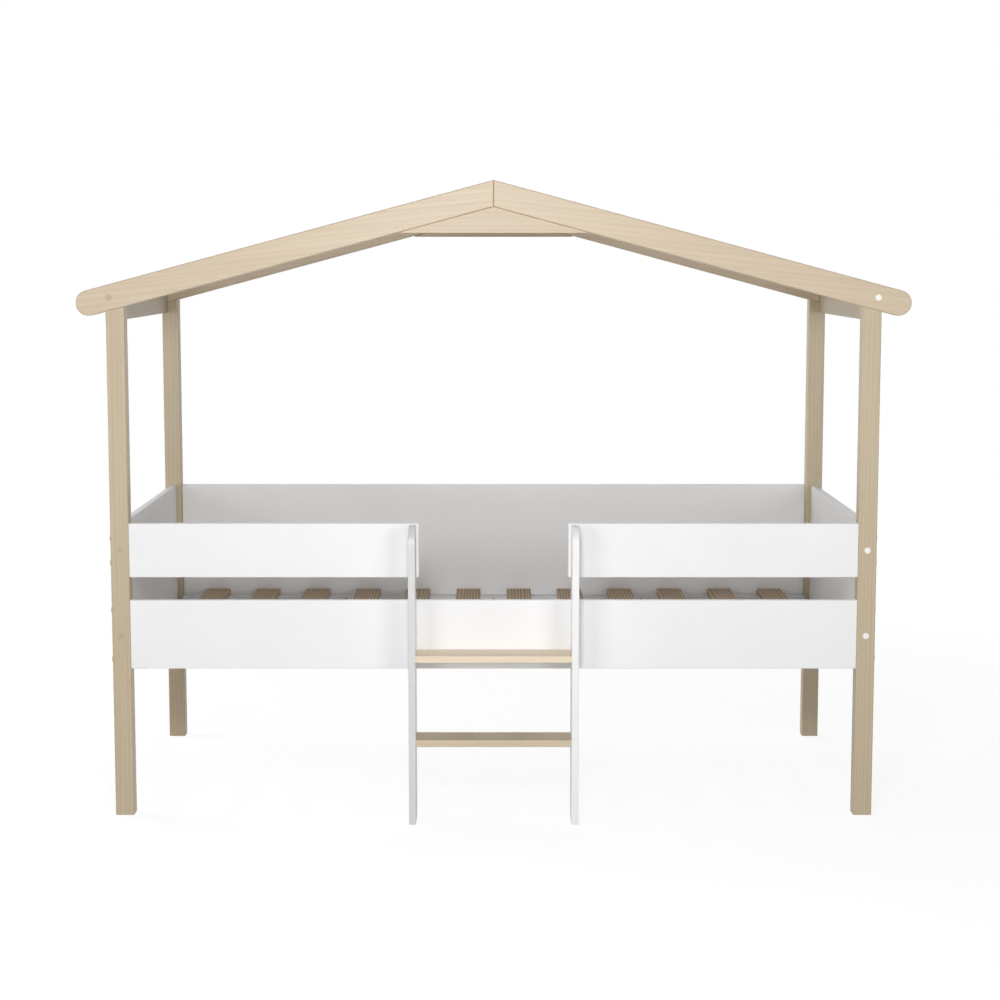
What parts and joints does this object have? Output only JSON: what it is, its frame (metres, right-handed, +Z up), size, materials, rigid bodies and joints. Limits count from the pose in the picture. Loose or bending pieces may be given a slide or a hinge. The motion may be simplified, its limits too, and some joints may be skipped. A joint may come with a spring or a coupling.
{
  "type": "mid-sleeper house bed",
  "caption": "Raised child's bed with a pitched wooden house frame on corner posts, white boards all round, guard rails, a slatted base and a short ladder in the middle of the front.",
  "frame": {"origin": "on the floor, at the middle of the whole outline, ladder and rafter ends included", "axes": "+X along the bed from its left end to its right, seen from the ladder's side; +Y from the ladder's side to the back; +Z up"},
  "size_m": [2.132, 1.0536, 1.6473],
  "materials": {
    "frame_wood": "fine-grained pale wood, clear matt lacquer",
    "step_wood": "pale wood, clear matt lacquer",
    "slat_wood": "plain brown softwood, sawn and sanded, no lacquer",
    "dowel_wood": "fluted beech, hidden in the joints",
    "white_board": "white satin paint on board, eased edges",
    "white_batten": "white paint on a softwood batten",
    "bolt_wood_tone": "wood-toned lacquer on the flat bolt heads",
    "bolt_white": "white lacquer on the flat bolt heads",
    "fitting_steel": "zinc-plated steel"
  },
  "bodies": {
    "root": {"back_panel": "white_board", "barrel_nuts": "fitting_steel", "connector_bolts_left": "bolt_wood_tone", "connector_bolts_right": "bolt_white", "dowels": "dowel_wood", "eaves_beam_left": "frame_wood", "eaves_beam_right": "frame_wood", "end_board_left": "white_board", "end_board_right": "white_board", "guard_rail_left": "white_board", "guard_rail_right": "white_board", "gusset_back": "frame_wood", "gusset_front": "frame_wood", "gusset_screws": "fitting_steel", "ladder_screws": "fitting_steel", "ladder_step_lower": "step_wood", "ladder_step_upper": "step_wood", "ladder_upright_left": "white_board", "ladder_upright_right": "white_board", "ledger_screws": "fitting_steel", "post_back_left": "frame_wood", "post_back_right": "frame_wood", "post_front_left": "frame_wood", "post_front_right": "frame_wood", "rafter_back_left": "frame_wood", "rafter_back_right": "frame_wood", "rafter_front_left": "frame_wood", "rafter_front_right": "frame_wood", "side_rail_front": "white_board", "slat_01": "slat_wood", "slat_02": "slat_wood", "slat_03": "slat_wood", "slat_04": "slat_wood", "slat_05": "slat_wood", "slat_06": "slat_wood", "slat_07": "slat_wood", "slat_08": "slat_wood", "slat_09": "slat_wood", "slat_10": "slat_wood", "slat_11": "slat_wood", "slat_12": "slat_wood", "slat_ledger_back": "white_batten", "slat_ledger_front": "white_batten", "slat_screws": "fitting_steel", "step_screws": "fitting_steel"}
  },
  "joints": []
}
